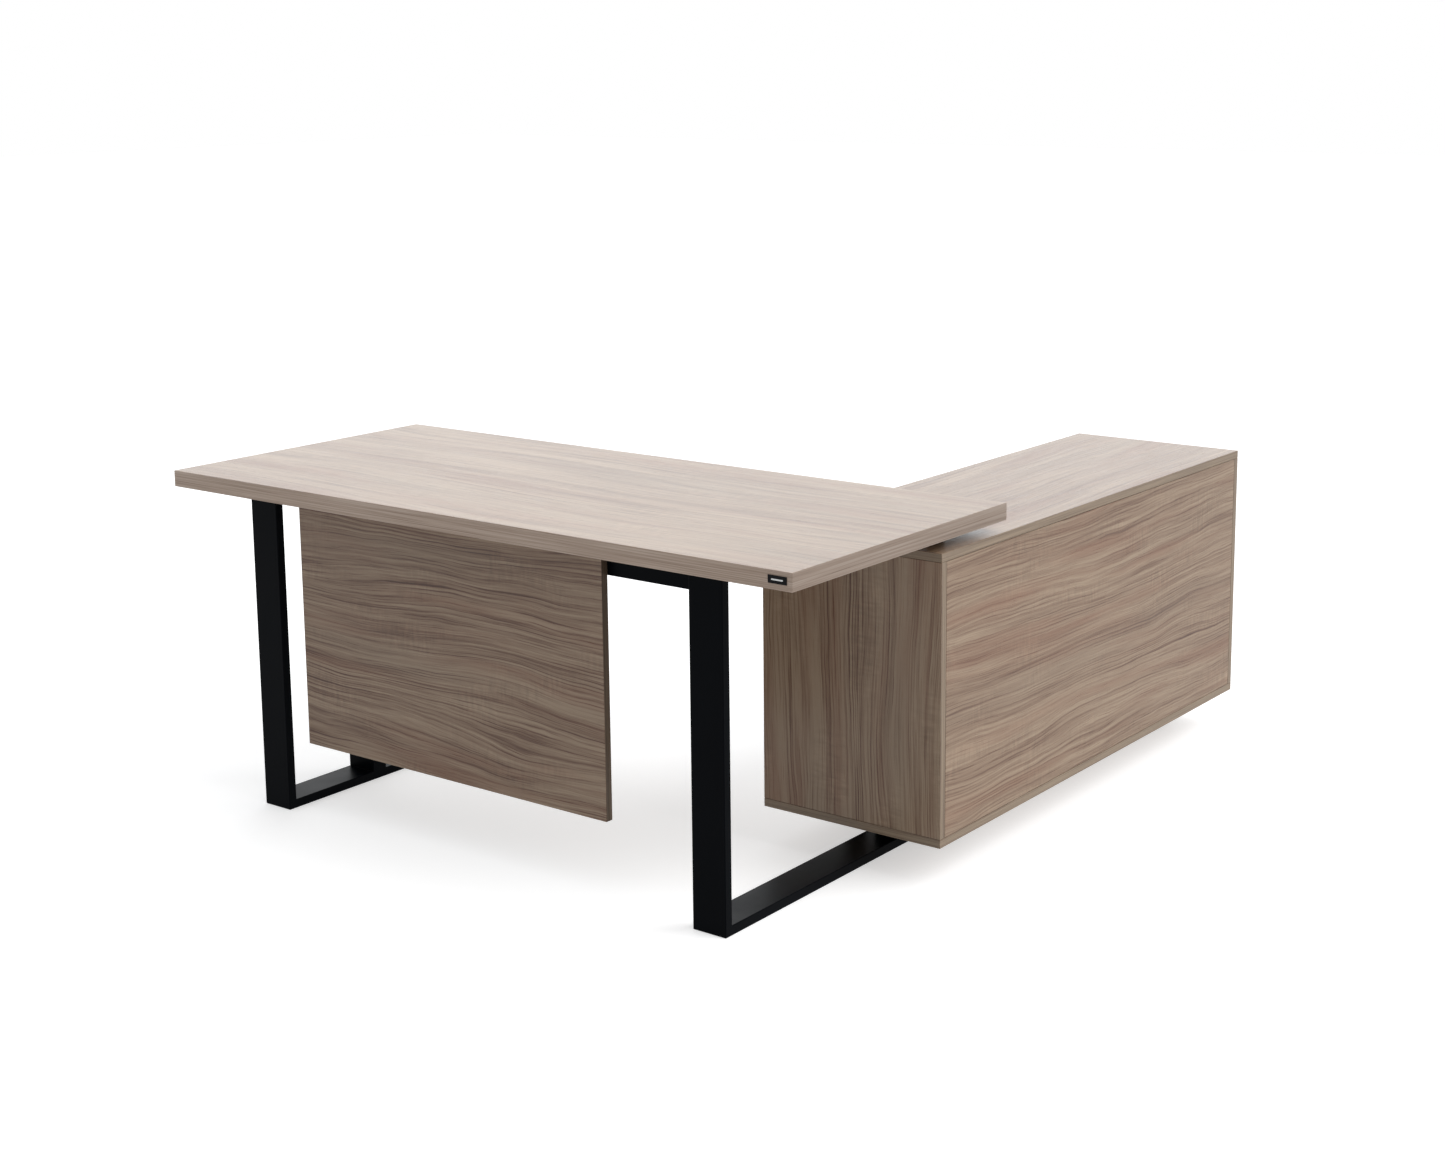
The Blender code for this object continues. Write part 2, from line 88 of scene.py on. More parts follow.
DRAWER_BOARD = 0.012                    # thickness of a drawer box's front
HANDLE_SCREW_INSET = 0.005              # in from the handle's ends
STRIPE = (0.026, 0.0004, 0.0028)        # length, height and width
STRIPE_END_STEPS = 8


def linear(hex_colour):
    """An sRGB hex colour as the linear values that shaders take."""
    channels = []
    for start in (1, 3, 5):
        value = int(hex_colour[start:start + 2], 16) / 255.0
        channels.append(value / 12.92 if value <= 0.04045 else ((value + 0.055) / 1.055) ** 2.4)
    return (*channels, 1.0)


def add(tree, kind, links=None, stops=None, **settings):
    """One node with its settings.

    links gives each input a value, a hex colour, an output socket or a node (its first output).
    stops are a colour ramp's (position, hex colour) pairs.
    """
    node = tree.nodes.new(kind)
    for name, value in settings.items():
        setattr(node, name, value)
    for name, value in (links or {}).items():
        if isinstance(value, bpy.types.Node):
            value = value.outputs[0]
        if isinstance(value, bpy.types.NodeSocket):
            tree.links.new(value, node.inputs[name])
        else:
            node.inputs[name].default_value = linear(value) if isinstance(value, str) else value
    for index, (position, colour) in enumerate(stops or ()):
        elements = node.color_ramp.elements
        element = elements[index] if index < 2 else elements.new(position)
        element.position = position
        element.color = linear(colour)
    return node


def start_material(name, roughness, metallic=0.0, specular=0.5):
    """An empty material with one Principled shader; returns it, its tree and the shader's inputs."""
    mat = bpy.data.materials.new(name)
    mat.use_nodes = True
    shader = mat.node_tree.nodes["Principled BSDF"].inputs
    shader["Roughness"].default_value = roughness
    shader["Metallic"].default_value = metallic
    shader["Specular IOR Level"].default_value = specular
    return mat, mat.node_tree, shader


MIDDLE_TONE = 0.46          # the print's middle, about which a stronger figure spreads
PRINT_STEP = (3.7, 1.9)     # metres along and across the print, from one board's part to the next
GROWTH_LINES = 125.0        # in a metre across the grain
LINE_SHIFT = 4.5            # how many lines' width the uneven spacing moves them by
QUICK_SWAY = 0.018          # metres
FACE_DEPTH = 0.0005         # metres in from a board's face that still count as its face
JOINT_INSET = (0.0010, 0.0016)          # metres in from a face's edges: the joint with the band
END_DEPTH = (0.0004, 0.0006)            # metres in from a board's ends: where the end band stops
BAND_TONES_AND_PAINTED_LIGHT = {
    # board: the dark, middle and pale lines of its edge band, and the share that its ends keep,
    #     which darkens them as painted shade
    # The worktop's band is paler: painted light on its front edge; its ends keep 0.63 of it, painted
    # shade
    "worktop": ("#9a8474", "#b09a89", "#c2afa0", 0.63),
    # The modesty panel's band is darker than the other bands: painted shade on its edge under the
    # worktop
    "modesty_panel": ("#483b30", "#55473a", "#625344", 1.0),
    "other boards": ("#776554", "#887663", "#988570", 1.0),
}


def wood_grain_melamine(node_name, grain, face, sway, contrast, print_and_shade_lift, seed):
    """Chipboard faced with printed elm-look melamine paper and edged with a matching band.

    The print has long growth lines with one sharp side, fine streaks, reddish and grey clouds and
    faint cross marks from the saw. The band's own fine lines run along each edge.
    The lacquered paper is satin, smooth enough to mirror bright things softly at a low angle.
    grain is the axis that the print runs along, face the axis that the board's faces point along,
    sway how far the growth lines wander, in metres, contrast how strongly the figure shows, and
    print_and_shade_lift how much paler this part of the print is than the rest; on the modesty
    panel this is painted shade, and on the cabinet top it is partly painted shade.
    """
    mat, tree, shader = start_material(f"wood_grain_melamine_{node_name}", 0.33)
    low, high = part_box(node_name)
    middle = (low + high) / 2
    half = (high - low) / 2
    side = ({"X", "Y", "Z"} - {grain, face}).pop()
    coords = add(tree, "ShaderNodeTexCoord")
    place = add(tree, "ShaderNodeSeparateXYZ", {"Vector": coords.outputs["Object"]})
    along = add(tree, "ShaderNodeMath", {0: place.outputs[grain], 1: PRINT_STEP[0] * seed})
    across = add(tree, "ShaderNodeMath", {0: place.outputs[side], 1: PRINT_STEP[1] * seed})
    depth = place.outputs[face]
    straight = add(tree, "ShaderNodeCombineXYZ", {"X": along, "Y": across, "Z": depth})

    # The growth lines wander: a slow bend of up to sway, and a quick one of a few millimetres.
    # Each Mapping's scale is how often its noise repeats in a metre along, across and through.
    slow_space = add(tree, "ShaderNodeMapping", {"Vector": straight, "Scale": (1.0, 2.6, 0.5)})
    slow = add(tree, "ShaderNodeTexNoise", {"Vector": slow_space, "Scale": 1.0, "Detail": 1.5})
    quick_space = add(tree, "ShaderNodeMapping", {"Vector": straight, "Scale": (4.5, 13.0, 1.0)})
    quick = add(tree, "ShaderNodeTexNoise", {"Vector": quick_space, "Scale": 1.0, "Detail": 2.5})
    bent_once = add(
        tree, "ShaderNodeMath", {0: slow, 1: sway, 2: across}, operation="MULTIPLY_ADD")
    bent = add(
        tree, "ShaderNodeMath", {0: quick, 1: QUICK_SWAY, 2: bent_once}, operation="MULTIPLY_ADD")
    grained = add(tree, "ShaderNodeCombineXYZ", {"X": along, "Y": bent, "Z": depth})

    # Thin dark growth lines about 8 mm apart, unevenly spaced, that fade in and out
    uneven_space = add(tree, "ShaderNodeMapping", {"Vector": grained, "Scale": (0.5, 22.0, 0.5)})
    uneven = add(tree, "ShaderNodeTexNoise", {"Vector": uneven_space, "Scale": 1.0, "Detail": 1.0})
    shift = add(tree, "ShaderNodeMath", {0: uneven, 1: LINE_SHIFT}, operation="MULTIPLY")
    line_count = add(
        tree, "ShaderNodeMath", {0: bent, 1: GROWTH_LINES, 2: shift}, operation="MULTIPLY_ADD")
    growth = add(tree, "ShaderNodeMath", {0: line_count}, operation="FRACT")
    line_depth = add(tree, "ShaderNodeValToRGB", {"Fac": growth}, stops=(
        (0.0, "#ffffff"), (1.0, "#d0d0d0"), (0.10, "#808080"), (0.35, "#000000"), (0.75, "#404040")))
    fade_space = add(tree, "ShaderNodeMapping", {"Vector": grained, "Scale": (2.2, 34.0, 0.5)})
    fade = add(tree, "ShaderNodeTexNoise", {"Vector": fade_space, "Scale": 1.0, "Detail": 2.0})
    line_strength = add(
        tree, "ShaderNodeMapRange",
        {"Value": fade, "From Min": 0.38, "From Max": 0.66, "To Min": -0.02, "To Max": -0.21})
    lines = add(
        tree, "ShaderNodeMath", {0: line_depth, 1: line_strength}, operation="MULTIPLY")

    # Broad soft bands, fine streaks and pores
    broad_space = add(tree, "ShaderNodeMapping", {"Vector": grained, "Scale": (0.9, 26.0, 0.5)})
    broad = add(tree, "ShaderNodeTexNoise", {"Vector": broad_space, "Scale": 1.0, "Detail": 2.0})
    streak_space = add(tree, "ShaderNodeMapping", {"Vector": grained, "Scale": (3.0, 170.0, 2.0)})
    streaks = add(
        tree, "ShaderNodeTexNoise",
        {"Vector": streak_space, "Scale": 1.0, "Detail": 4.0, "Roughness": 0.68})
    pore_space = add(tree, "ShaderNodeMapping", {"Vector": grained, "Scale": (14.0, 800.0, 4.0)})
    pores = add(
        tree, "ShaderNodeTexNoise",
        {"Vector": pore_space, "Scale": 1.0, "Detail": 2.0, "Roughness": 0.6})
    banded = add(tree, "ShaderNodeMath", {0: broad, 1: 0.26, 2: lines}, operation="MULTIPLY_ADD")
    streaked = add(
        tree, "ShaderNodeMath", {0: streaks, 1: 0.56, 2: banded}, operation="MULTIPLY_ADD")
    pored = add(tree, "ShaderNodeMath", {0: pores, 1: 0.18, 2: streaked}, operation="MULTIPLY_ADD")
    # print_and_shade_lift shifts the whole tone: painted shade on the modesty panel, partly on the
    # cabinet top
    tone = add(
        tree, "ShaderNodeMath", {0: pored, 1: contrast, 2: MIDDLE_TONE * (1.0 - contrast) + print_and_shade_lift},
        operation="MULTIPLY_ADD")
    figure = add(tree, "ShaderNodeValToRGB", {"Fac": tone}, stops=(
        (0.16, "#4b3328"), (0.60, "#a28c76"), (0.26, "#624536"), (0.36, "#785e4b"),
        (0.44, "#8b735f"), (0.52, "#967f6a")))

    # Reddish and grey clouds that follow the lines
    red_space = add(tree, "ShaderNodeMapping", {"Vector": grained, "Scale": (1.6, 20.0, 0.5)})
    red_cloud = add(tree, "ShaderNodeTexNoise", {"Vector": red_space, "Scale": 1.0, "Detail": 2.0})
    red_share = add(
        tree, "ShaderNodeMapRange",
        {"Value": red_cloud, "From Min": 0.50, "From Max": 0.72, "To Min": 0.0, "To Max": 0.45})
    reddish = add(
        tree, "ShaderNodeMix", {"Factor": red_share, 6: figure, 7: "#835b46"}, data_type="RGBA")
    grey_space = add(tree, "ShaderNodeMapping", {"Vector": grained, "Scale": (1.1, 10.0, 0.5)})
    grey_cloud = add(tree, "ShaderNodeTexNoise", {"Vector": grey_space, "Scale": 1.0, "Detail": 1.0})
    grey_share = add(
        tree, "ShaderNodeMapRange",
        {"Value": grey_cloud, "From Min": 0.52, "From Max": 0.74, "To Min": 0.0, "To Max": 0.25})
    greyed = add(
        tree, "ShaderNodeMix", {"Factor": grey_share, 6: reddish.outputs[2], 7: "#847564"},
        data_type="RGBA")

    # Faint short marks across the grain, 8 mm apart, in small patches
    mark_space = add(tree, "ShaderNodeMapping", {"Vector": straight, "Scale": (125.0, 26.0, 1.0)})
    marks = add(tree, "ShaderNodeTexNoise", {"Vector": mark_space, "Scale": 1.0, "Detail": 1.0})
    patch_space = add(tree, "ShaderNodeMapping", {"Vector": straight, "Scale": (5.0, 12.0, 1.0)})
    patches = add(tree, "ShaderNodeTexNoise", {"Vector": patch_space, "Scale": 1.0, "Detail": 1.0})
    mark_strength = add(
        tree, "ShaderNodeMapRange",
        {"Value": patches, "From Min": 0.48, "From Max": 0.70, "To Min": 0.0, "To Max": 0.55})
    mark_swing = add(tree, "ShaderNodeMath", {0: marks, 1: 0.5}, operation="SUBTRACT")
    mark_tone = add(
        tree, "ShaderNodeMath", {0: mark_swing, 1: mark_strength, 2: 1.0}, operation="MULTIPLY_ADD")
    marked = add(
        tree, "ShaderNodeVectorMath", {0: greyed.outputs[2], "Scale": mark_tone}, operation="SCALE")

    # The band: fine straight lines along the edge, in its own tone. The worktop's paler band is
    #     painted light on its front edge, and the modesty panel's dark band is painted shade
    band_space = add(tree, "ShaderNodeMapping", {"Vector": straight, "Scale": (3.0, 3.0, 420.0)})
    band_lines = add(
        tree, "ShaderNodeTexNoise",
        {"Vector": band_space, "Scale": 1.0, "Detail": 3.0, "Roughness": 0.65})
    dark, mid, pale, end_painted_shade_share = BAND_TONES_AND_PAINTED_LIGHT.get(node_name, BAND_TONES_AND_PAINTED_LIGHT["other boards"])
    long_band = add(
        tree, "ShaderNodeValToRGB", {"Fac": band_lines},
        stops=((0.36, dark), (0.64, pale), (0.50, mid)))

    # How far in from the board's outside each point lies tells a face from a band, and shows the
    # hairline joint between them
    inset = {}
    for axis in (grain, side, face):
        index = "XYZ".index(axis)
        offset = add(
            tree, "ShaderNodeMath", {0: place.outputs[axis], 1: middle[index]}, operation="SUBTRACT")
        away = add(tree, "ShaderNodeMath", {0: offset}, operation="ABSOLUTE")
        inset[axis] = add(tree, "ShaderNodeMath", {0: half[index], 1: away}, operation="SUBTRACT")
    on_face = add(tree, "ShaderNodeMath", {0: inset[face], 1: FACE_DEPTH}, operation="LESS_THAN")
    nearest = add(
        tree, "ShaderNodeMath", {0: inset[grain], 1: inset[side]}, operation="MINIMUM")
    joint_tone = add(
        tree, "ShaderNodeMapRange",
        {"Value": nearest, "From Min": JOINT_INSET[0], "From Max": JOINT_INSET[1],
         "To Min": 0.84, "To Max": 1.0})
    jointed = add(
        tree, "ShaderNodeVectorMath", {0: marked, "Scale": joint_tone}, operation="SCALE")
    # Painted shade: the band's ends are darkened to end_painted_shade_share of its tone (0.63 on the
    # worktop)
    end_painted_shade = add(
        tree, "ShaderNodeMapRange",
        {"Value": inset[grain], "From Min": END_DEPTH[0], "From Max": END_DEPTH[1],
         "To Min": end_painted_shade_share, "To Max": 1.0})
    band = add(
        tree, "ShaderNodeVectorMath", {0: long_band, "Scale": end_painted_shade}, operation="SCALE")
    colour = add(
        tree, "ShaderNodeMix", {"Factor": on_face, 6: band, 7: jointed}, data_type="RGBA")
    tree.links.new(colour.outputs[2], shader["Base Color"])

    fine = add(
        tree, "ShaderNodeMix", {"Factor": on_face, 2: band_lines, 3: pores}, data_type="FLOAT")
    roughness = add(
        tree, "ShaderNodeMapRange",
        {"Value": fine, "From Min": 0.3, "From Max": 0.7, "To Min": 0.26, "To Max": 0.38})
    tree.links.new(roughness.outputs[0], shader["Roughness"])
    relief = add(tree, "ShaderNodeBump", {"Height": fine, "Strength": 0.10, "Distance": 0.0002})
    tree.links.new(relief.outputs[0], shader["Normal"])
    return mat


def powder_coated_steel():
    """Mild steel tube with a satin black powder coat: near black, with a fine orange-peel skin."""
    mat, tree, shader = start_material("powder_coated_steel", 0.38, specular=0.05)
    coords = add(tree, "ShaderNodeTexCoord").outputs["Object"]
    peel = add(tree, "ShaderNodeTexNoise", {"Vector": coords, "Scale": 900.0, "Detail": 2.0})
    handling = add(tree, "ShaderNodeTexNoise", {"Vector": coords, "Scale": 7.0, "Detail": 4.0})
    base = add(
        tree, "ShaderNodeValToRGB", {"Fac": handling}, stops=((0.35, "#020408"), (0.65, "#04070c")))
    tree.links.new(base.outputs[0], shader["Base Color"])
    roughness = add(
        tree, "ShaderNodeMapRange",
        {"Value": handling, "From Min": 0.3, "From Max": 0.7, "To Min": 0.32, "To Max": 0.44})
    tree.links.new(roughness.outputs[0], shader["Roughness"])
    relief = add(tree, "ShaderNodeBump", {"Height": peel, "Strength": 0.15, "Distance": 0.0002})
    tree.links.new(relief.outputs[0], shader["Normal"])
    return mat


def zinc_plated_steel():
    """Rolled steel with bright zinc: pale grey metal with a cloudy, slightly drawn finish."""
    mat, tree, shader = start_material("zinc_plated_steel", 0.34, metallic=1.0)
    coords = add(tree, "ShaderNodeTexCoord").outputs["Object"]
    cloud = add(tree, "ShaderNodeTexNoise", {"Vector": coords, "Scale": 140.0, "Detail": 3.0})
    base = add(
        tree, "ShaderNodeValToRGB", {"Fac": cloud}, stops=((0.3, "#a9adb0"), (0.7, "#c9ccce")))
    tree.links.new(base.outputs[0], shader["Base Color"])
    roughness = add(
        tree, "ShaderNodeMapRange",
        {"Value": cloud, "From Min": 0.3, "From Max": 0.7, "To Min": 0.26, "To Max": 0.44})
    tree.links.new(roughness.outputs[0], shader["Roughness"])
    return mat


def foil_wrapped_board():
    """Drawer sides of chipboard in pale grey linen-print foil: matt, with a fine woven pattern.

    The threads are 1.1 mm apart, a little coarser than the print's, so that they show.
    """
    mat, tree, shader = start_material("foil_wrapped_board", 0.55)
    coords = add(tree, "ShaderNodeTexCoord").outputs["Object"]
    level_space = add(tree, "ShaderNodeMapping", {"Vector": coords, "Scale": (60.0, 60.0, 900.0)})
    level = add(tree, "ShaderNodeTexNoise", {"Vector": level_space, "Scale": 1.0})
    upright_space = add(tree, "ShaderNodeMapping", {"Vector": coords, "Scale": (900.0, 900.0, 60.0)})
    upright = add(tree, "ShaderNodeTexNoise", {"Vector": upright_space, "Scale": 1.0})
    weave = add(tree, "ShaderNodeMath", {0: level, 1: upright})
    halved = add(tree, "ShaderNodeMath", {0: weave, 1: 0.5}, operation="MULTIPLY")
    base = add(
        tree, "ShaderNodeValToRGB", {"Fac": halved}, stops=((0.35, "#a8a6a1"), (0.65, "#c6c4bf")))
    tree.links.new(base.outputs[0], shader["Base Color"])
    relief = add(tree, "ShaderNodeBump", {"Height": halved, "Strength": 0.2, "Distance": 0.0002})
    tree.links.new(relief.outputs[0], shader["Normal"])
    return mat


def moulded_black_abs(name, roughness, grain_per_metre):
    """Injection-moulded black ABS with the fine even texture of a spark-eroded mould."""
    mat, tree, shader = start_material(name, roughness, specular=0.12)
    coords = add(tree, "ShaderNodeTexCoord").outputs["Object"]
    texture = add(tree, "ShaderNodeTexVoronoi", {"Vector": coords, "Scale": grain_per_metre})
    base = add(
        tree, "ShaderNodeValToRGB", {"Fac": texture}, stops=((0.0, "#09090b"), (0.8, "#131315")))
    tree.links.new(base.outputs[0], shader["Base Color"])
    relief = add(tree, "ShaderNodeBump", {"Height": texture, "Strength": 0.25, "Distance": 0.0001})
    tree.links.new(relief.outputs[0], shader["Normal"])
    return mat


def screen_printed_ink():
    """Thick white ink pressed through a mesh: satin, with the mesh's faint pitting."""
    mat, tree, shader = start_material("screen_printed_ink", 0.42)
    coords = add(tree, "ShaderNodeTexCoord").outputs["Object"]
    pits = add(tree, "ShaderNodeTexVoronoi", {"Vector": coords, "Scale": 4000.0})
    base = add(
        tree, "ShaderNodeValToRGB", {"Fac": pits}, stops=((0.0, "#dcdcda"), (0.6, "#f4f4f2")))
    tree.links.new(base.outputs[0], shader["Base Color"])
    relief = add(tree, "ShaderNodeBump", {"Height": pits, "Strength": 0.2, "Distance": 0.00005})
    tree.links.new(relief.outputs[0], shader["Normal"])
    return mat


BOARDS = {
    # board: (axis that the print runs along, axis that its faces point along, sway of the lines,
    #     contrast of the figure, lift of its tone, which is painted shade on the modesty panel and
    #     partly on the cabinet top)
    "worktop": ("X", "Z", 0.12, 1.55, 0.00),
    # The modesty panel's lift of -0.05 is painted shade under the worktop's overhang
    "modesty_panel": ("X", "Y", 0.17, 1.60, -0.05),
    # The cabinet top's lift of -0.04 is partly painted shade under the worktop, partly a darker print
    "cabinet_top": ("Y", "Z", 0.12, 1.25, -0.04),
    "cabinet_bottom": ("Y", "Z", 0.12, 1.20, 0.00),
    "cabinet_end_near": ("Z", "Y", 0.16, 1.65, 0.03),
    "cabinet_end_far": ("Z", "Y", 0.16, 1.30, 0.00),
    "cabinet_back": ("Y", "X", 0.15, 1.28, -0.01),
    "cabinet_divider_near": ("Z", "Y", 0.16, 1.30, 0.00),
    "cabinet_divider_far": ("Z", "Y", 0.16, 1.30, 0.00),
    "open_bay_shelf": ("Y", "Z", 0.14, 1.20, 0.00),
    "door_bay_shelf": ("Y", "Z", 0.14, 1.20, 0.00),
    "drawer_bottom_front": ("Y", "X", 0.20, 1.25, 0.00),
    "drawer_middle_front": ("Y", "X", 0.20, 1.25, 0.00),
    "drawer_top_front": ("Y", "X", 0.20, 1.25, 0.00),
    "door": ("Z", "X", 0.20, 1.25, 0.00),
}


def dress(node_name, mat):
    """Gives a CAD node its material."""
    mesh = NODES[node_name].data
    mesh.materials.clear()
    mesh.materials.append(mat)


def dress_nodes(steel, zinc, plastic):
    """Every CAD node's finish: boards, badge, mouldings, drawer boxes, zinc fittings, black steel."""
    for seed, (name, cut) in enumerate(BOARDS.items()):
        dress(name, wood_grain_melamine(name, *cut, seed))
    foil = foil_wrapped_board()
    dress("badge_plate", moulded_black_abs("polished_black_abs", roughness=0.16, grain_per_metre=300.0))
    for name in NODES:
        if name in BOARDS or name == "badge_plate":
            continue
        if name.startswith(("worktop_spacer", "cabinet_foot")):
            dress(name, plastic)
        elif name.endswith("_box"):
            dress(name, foil)
        elif "runner" in name or "hinge" in name or "shelf_pin" in name:
            dress(name, zinc)
        else:
            dress(name, steel)


def turned(bm, place, direction, profile, sides=24):
    """Adds a turned shape standing on place: rings of (radius, height, hexagonal or not)."""
    turn = Vector((0.0, 0.0, 1.0)).rotation_difference(Vector(direction)).to_matrix()
    rings = []
    for radius, height, hexagonal in profile:
        ring = []
        for step in range(sides):
            angle = 2 * math.pi * step / sides
            reach = radius
            if hexagonal:
                reach *= math.cos(math.pi / 6) / math.cos(angle % (math.pi / 3) - math.pi / 6)
            local = Vector((reach * math.cos(angle), reach * math.sin(angle), height))
            ring.append(bm.verts.new(Vector(place) + turn @ local))
        rings.append(ring)
    for lower, upper in zip(rings, rings[1:]):
        for step in range(sides):
            following = (step + 1) % sides
            bm.faces.new((lower[step], lower[following], upper[following], upper[step]))
    bm.faces.new(list(reversed(rings[0])))
    bm.faces.new(rings[-1])


def button_head(radius, height):
    """A domed screw head with a hex socket."""
    socket = radius * SOCKET_SHARE
    return (
        (radius, 0.0, False), (radius, height * 0.30, False), (radius * 0.93, height * 0.62, False),
        (radius * 0.76, height * 0.88, False), (radius * 0.56, height, False),
        (socket, height, True), (socket, height * 0.35, True))


def sleeve_rim(radius, height):
    """A pressed-in shelf-pin sleeve: a thin rim round a shallow hollow."""
    return (
        (radius, 0.0, False), (radius * 0.94, height, False), (radius * 0.72, height, False),
        (radius * 0.68, height / 4, False))


def cover_cap(radius, height):
    """A flat cap over a cam lock, with a rounded rim."""
    return (
        (radius, 0.0, False), (radius, height * 5 / 12, False),
        (radius * 0.93, height * 5 / 6, False), (radius * 0.5, height, False))


def fitting(name, body, mat, shapes):
    """One object of many turned shapes: (place, direction, profile) each."""
    bm = bmesh.new()
    for place, direction, profile in shapes:
        turned(bm, place, direction, profile)
    bmesh.ops.recalc_face_normals(bm, faces=bm.faces)
    mesh = bpy.data.meshes.new(name)
    bm.to_mesh(mesh)
    bm.free()
    mesh.shade_smooth()
    mesh.set_sharp_from_angle(angle=SHARP_ANGLE)
    mesh.materials.append(mat)
    obj = bpy.data.objects.new(name, mesh)
    bpy.context.scene.collection.objects.link(obj)
    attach(obj, body)
    return obj


def frame_fittings(steel):
    """Screws up through the leg frames' top rails, and those that hold the beam and its brackets."""
    down, back, inward = (0.0, 0.0, -1.0), (0.0, 1.0, 0.0), (-1.0, 0.0, 0.0)
    screw, small_screw, bolt = button_head(*SCREW), button_head(*SMALL_SCREW), button_head(*BOLT)
    shapes = []
    for node in ("left_leg_frame", "right_leg_frame"):
        low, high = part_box(node)
        for share in RAIL_SCREWS:
            y = low.y + share * (high.y - low.y)
            shapes.append((((low.x + high.x) / 2, y, high.z - RAIL_HEIGHT), down, screw))
    low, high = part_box("beam_end_plate_right")
    for inset in BEAM_BOLTS:
        shapes.append(((low.x, high.y - inset, high.z - BEAM_BOLT_DROP), inward, bolt))
    low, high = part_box("beam_end_plate_left")
    for along in FOLD_SCREWS:
        place = (low.x + along, high.y - FOLD_SCREW_INSET, high.z - FOLD_THICKNESS)
        shapes.append((place, down, small_screw))
    for number in (1, 2, 3):
        low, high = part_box(f"modesty_bracket_{number}")
        for x in (low.x + BRACKET_SCREW_SIDE, high.x - BRACKET_SCREW_SIDE):
            under = (x, high.y - BRACKET_SCREW_INSET, high.z - BRACKET_THICKNESS)
            behind = (x, low.y + BRACKET_THICKNESS, low.z + BRACKET_SCREW_RISE)
            shapes += [(under, down, screw), (behind, back, screw)]
    fitting("frame_screws", "desk", steel, shapes)


def cabinet_fittings(zinc, plastic):
    """Shelf-pin sleeves in the door bay, and caps over the cam locks inside the two open bays."""
    to_far, to_near = (0.0, 1.0, 0.0), (0.0, -1.0, 0.0)
    sleeve, cap = sleeve_rim(*SLEEVE), cover_cap(*CAP)
    near_wall, far_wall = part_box("cabinet_divider_far")[1].y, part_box("cabinet_end_far")[0].y
    shapes = []
    for pin in ("shelf_pin_near_front", "shelf_pin_near_rear"):
        low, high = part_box(pin)
        x, level = (low.x + high.x) / 2, (low.z + high.z) / 2
        for step in range(-SLEEVES_EACH_WAY, SLEEVES_EACH_WAY + 1):
            if step == 0:
                continue
            z = level + step * SLEEVE_PITCH
            shapes += [((x, near_wall, z), to_far, sleeve), ((x, far_wall, z), to_near, sleeve)]
    fitting("shelf_pin_sleeves", "desk", zinc, shapes)

    shapes = []
    walls = (
        (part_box("cabinet_divider_near")[1].y, to_far), (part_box("cabinet_divider_far")[0].y, to_near),
        (near_wall, to_far), (far_wall, to_near))
    floor_z, ceiling_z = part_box("cabinet_bottom")[1].z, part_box("cabinet_top")[0].z
    front_x, back_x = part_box("cabinet_divider_near")[0].x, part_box("cabinet_back")[0].x
    for wall_y, direction in walls:
        for x in (front_x + CAP_FRONT, back_x - CAP_REAR):
            for z in (floor_z + CAP_LEVEL, ceiling_z - CAP_LEVEL):
                shapes.append(((x, wall_y, z), direction, cap))
    fitting("cam_lock_caps", "desk", plastic, shapes)


def handle_screws(zinc):
    """Screws that hold each handle, on the inside of the drawer box or the door."""
    screw = button_head(*SCREW)
    inward = (1.0, 0.0, 0.0)
    for label in ("bottom", "middle", "top"):
        low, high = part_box(f"drawer_{label}_handle")
        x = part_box(f"drawer_{label}_box")[0].x + DRAWER_BOARD
        z = (low.z + high.z) / 2
        ends = (low.y + HANDLE_SCREW_INSET, high.y - HANDLE_SCREW_INSET)
        shapes = [((x, y, z), inward, screw) for y in ends]
        fitting(f"drawer_{label}_handle_screws", f"drawer_{label}", zinc, shapes)
    low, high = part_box("door_handle")
    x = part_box("door")[1].x
    y = (low.y + high.y) / 2
    ends = (low.z + HANDLE_SCREW_INSET, high.z - HANDLE_SCREW_INSET)
    shapes = [((x, y, z), inward, screw) for z in ends]
    fitting("door_handle_screws", "door", zinc, shapes)


def badge_stripe():
    """A plain white bar with round ends, raised on the badge plate."""
    low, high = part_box("badge_plate")
    length, height, width = STRIPE
    middle = Vector(((low.x + high.x) / 2, low.y, (low.z + high.z) / 2))
    radius = width / 2
    outline = []
    for end, turn in ((1.0, -90.0), (-1.0, 90.0)):
        for step in range(STRIPE_END_STEPS + 1):
            angle = math.radians(turn + 180.0 * step / STRIPE_END_STEPS)
            outline.append(middle + Vector((
                end * (length / 2 - radius) + radius * math.cos(angle), 0.0, radius * math.sin(angle))))
    bm = bmesh.new()
    base = bm.faces.new([bm.verts.new(point) for point in outline])
    raised = bmesh.ops.extrude_face_region(bm, geom=[base])["geom"]
    verts = [item for item in raised if isinstance(item, bmesh.types.BMVert)]
    bmesh.ops.translate(bm, vec=(0.0, -height, 0.0), verts=verts)
    bmesh.ops.recalc_face_normals(bm, faces=bm.faces)
    mesh = bpy.data.meshes.new("badge_stripe")
    bm.to_mesh(mesh)
    bm.free()
    mesh.materials.append(screen_printed_ink())
    obj = bpy.data.objects.new("badge_stripe", mesh)
    bpy.context.scene.collection.objects.link(obj)
    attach(obj, "desk")


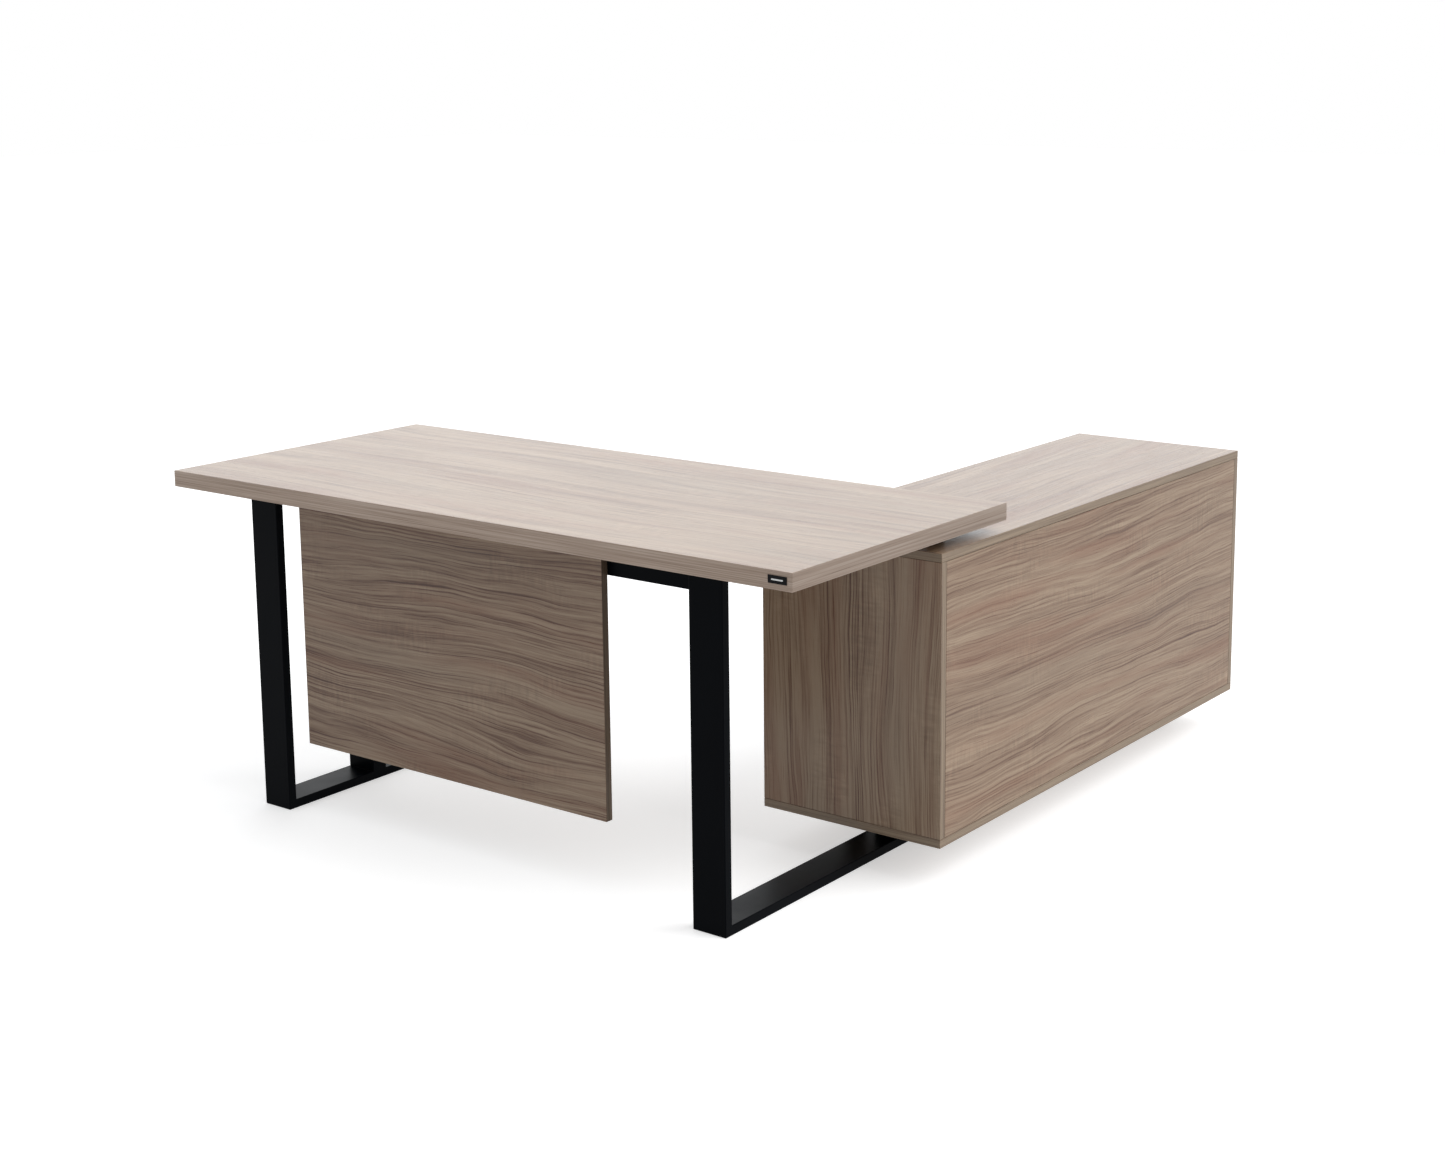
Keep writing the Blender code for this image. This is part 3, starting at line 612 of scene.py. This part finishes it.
def pale_room():
    """World light: dimmer on the visitors' side, with a low bright wall that the tops mirror.

    The camera itself sees plain white.
    """
    world = bpy.data.worlds.new("pale_room")
    bpy.context.scene.world = world
    world.use_nodes = True
    tree = world.node_tree
    tree.nodes.clear()
    direction = add(tree, "ShaderNodeTexCoord").outputs["Generated"]
    parts = add(tree, "ShaderNodeSeparateXYZ", {"Vector": direction})
    room = add(
        tree, "ShaderNodeMapRange",
        {"Value": parts.outputs["Y"], "From Min": -1.0, "From Max": 1.0,
         "To Min": ROOM_DIM, "To Max": ROOM_BRIGHT})
    towards_wall = add(
        tree, "ShaderNodeVectorMath", {0: direction, 1: Vector(WALL_FROM).normalized()},
        operation="DOT_PRODUCT")
    wall = add(
        tree, "ShaderNodeMapRange",
        {"Value": towards_wall.outputs["Value"], "From Min": WALL_EDGES[0],
         "From Max": WALL_EDGES[1], "To Min": 0.0, "To Max": WALL_STRENGTH},
        interpolation_type="SMOOTHSTEP")
    ceiling = add(
        tree, "ShaderNodeMapRange",
        {"Value": parts.outputs["Z"], "From Min": CEILING_EDGES[0], "From Max": CEILING_EDGES[1],
         "To Min": 0.0, "To Max": CEILING_STRENGTH})
    walled = add(tree, "ShaderNodeMath", {0: room, 1: wall})
    strength = add(tree, "ShaderNodeMath", {0: walled, 1: ceiling})
    light = add(tree, "ShaderNodeBackground", {"Color": ROOM_COLOUR, "Strength": strength})
    white = add(tree, "ShaderNodeBackground", {"Color": "#ffffff", "Strength": 1.0})
    path = add(tree, "ShaderNodeLightPath")
    seen = add(
        tree, "ShaderNodeMixShader", {0: path.outputs["Is Camera Ray"], 1: light, 2: white})
    add(tree, "ShaderNodeOutputWorld", {"Surface": seen})


def sun():
    """The broad sun, high on the cabinet's side."""
    data = bpy.data.lights.new("broad_sun", "SUN")
    data.energy = SUN_STRENGTH
    data.angle = SUN_ANGLE
    lamp = bpy.data.objects.new("broad_sun", data)
    lamp.rotation_euler = Vector(SUN_FROM).to_track_quat("Z", "Y").to_euler()
    bpy.context.scene.collection.objects.link(lamp)


def pale_floor():
    """A white floor that glows to the camera, so that only the soft shadows under the desk show."""
    bm = bmesh.new()
    bmesh.ops.create_grid(bm, x_segments=1, y_segments=1, size=FLOOR_SIZE / 2)
    mesh = bpy.data.meshes.new("floor")
    bm.to_mesh(mesh)
    bm.free()
    floor = bpy.data.objects.new("floor", mesh)
    floor.location.z = -FLOOR_DROP
    bpy.context.scene.collection.objects.link(floor)
    mat, tree, shader = start_material("painted_white_floor", 0.9, specular=0.0)
    path = add(tree, "ShaderNodeLightPath").outputs["Is Camera Ray"]
    paint = add(
        tree, "ShaderNodeMix", {"Factor": path, 6: FLOOR_PAINT[0], 7: FLOOR_PAINT[1]},
        data_type="RGBA")
    tree.links.new(paint.outputs[2], shader["Base Color"])
    glow = add(
        tree, "ShaderNodeMapRange",
        {"Value": path, "To Min": FLOOR_GLOW[0], "To Max": FLOOR_GLOW[1]})
    shader["Emission Color"].default_value = linear("#ffffff")
    tree.links.new(glow.outputs[0], shader["Emission Strength"])
    mesh.materials.append(mat)


def camera():
    """Stands before the desk's right-hand corner, a little above the worktop."""
    data = bpy.data.cameras.new("camera")
    data.lens = CAMERA_LENS
    data.shift_x, data.shift_y = CAMERA_SHIFT
    cam = bpy.data.objects.new("camera", data)
    turn = Matrix.Rotation(CAMERA_TURN, 4, "Z") @ Matrix.Rotation(math.pi / 2 + CAMERA_TILT, 4, "X")
    cam.matrix_world = Matrix.Translation(CAMERA_PLACE) @ turn @ Matrix.Rotation(CAMERA_ROLL, 4, "Z")
    bpy.context.scene.collection.objects.link(cam)
    bpy.context.scene.camera = cam


def fittings(steel, zinc, plastic):
    frame_fittings(steel)
    cabinet_fittings(zinc, plastic)
    handle_screws(zinc)
    badge_stripe()


def main():
    bpy.context.scene.view_settings.view_transform = "Standard"
    camera()
    pale_room()
    sun()
    pale_floor()
    finishes = (
        powder_coated_steel(), zinc_plated_steel(),
        moulded_black_abs("moulded_black_abs", roughness=0.48, grain_per_metre=1400.0))
    dress_nodes(*finishes)
    fittings(*finishes)


main()
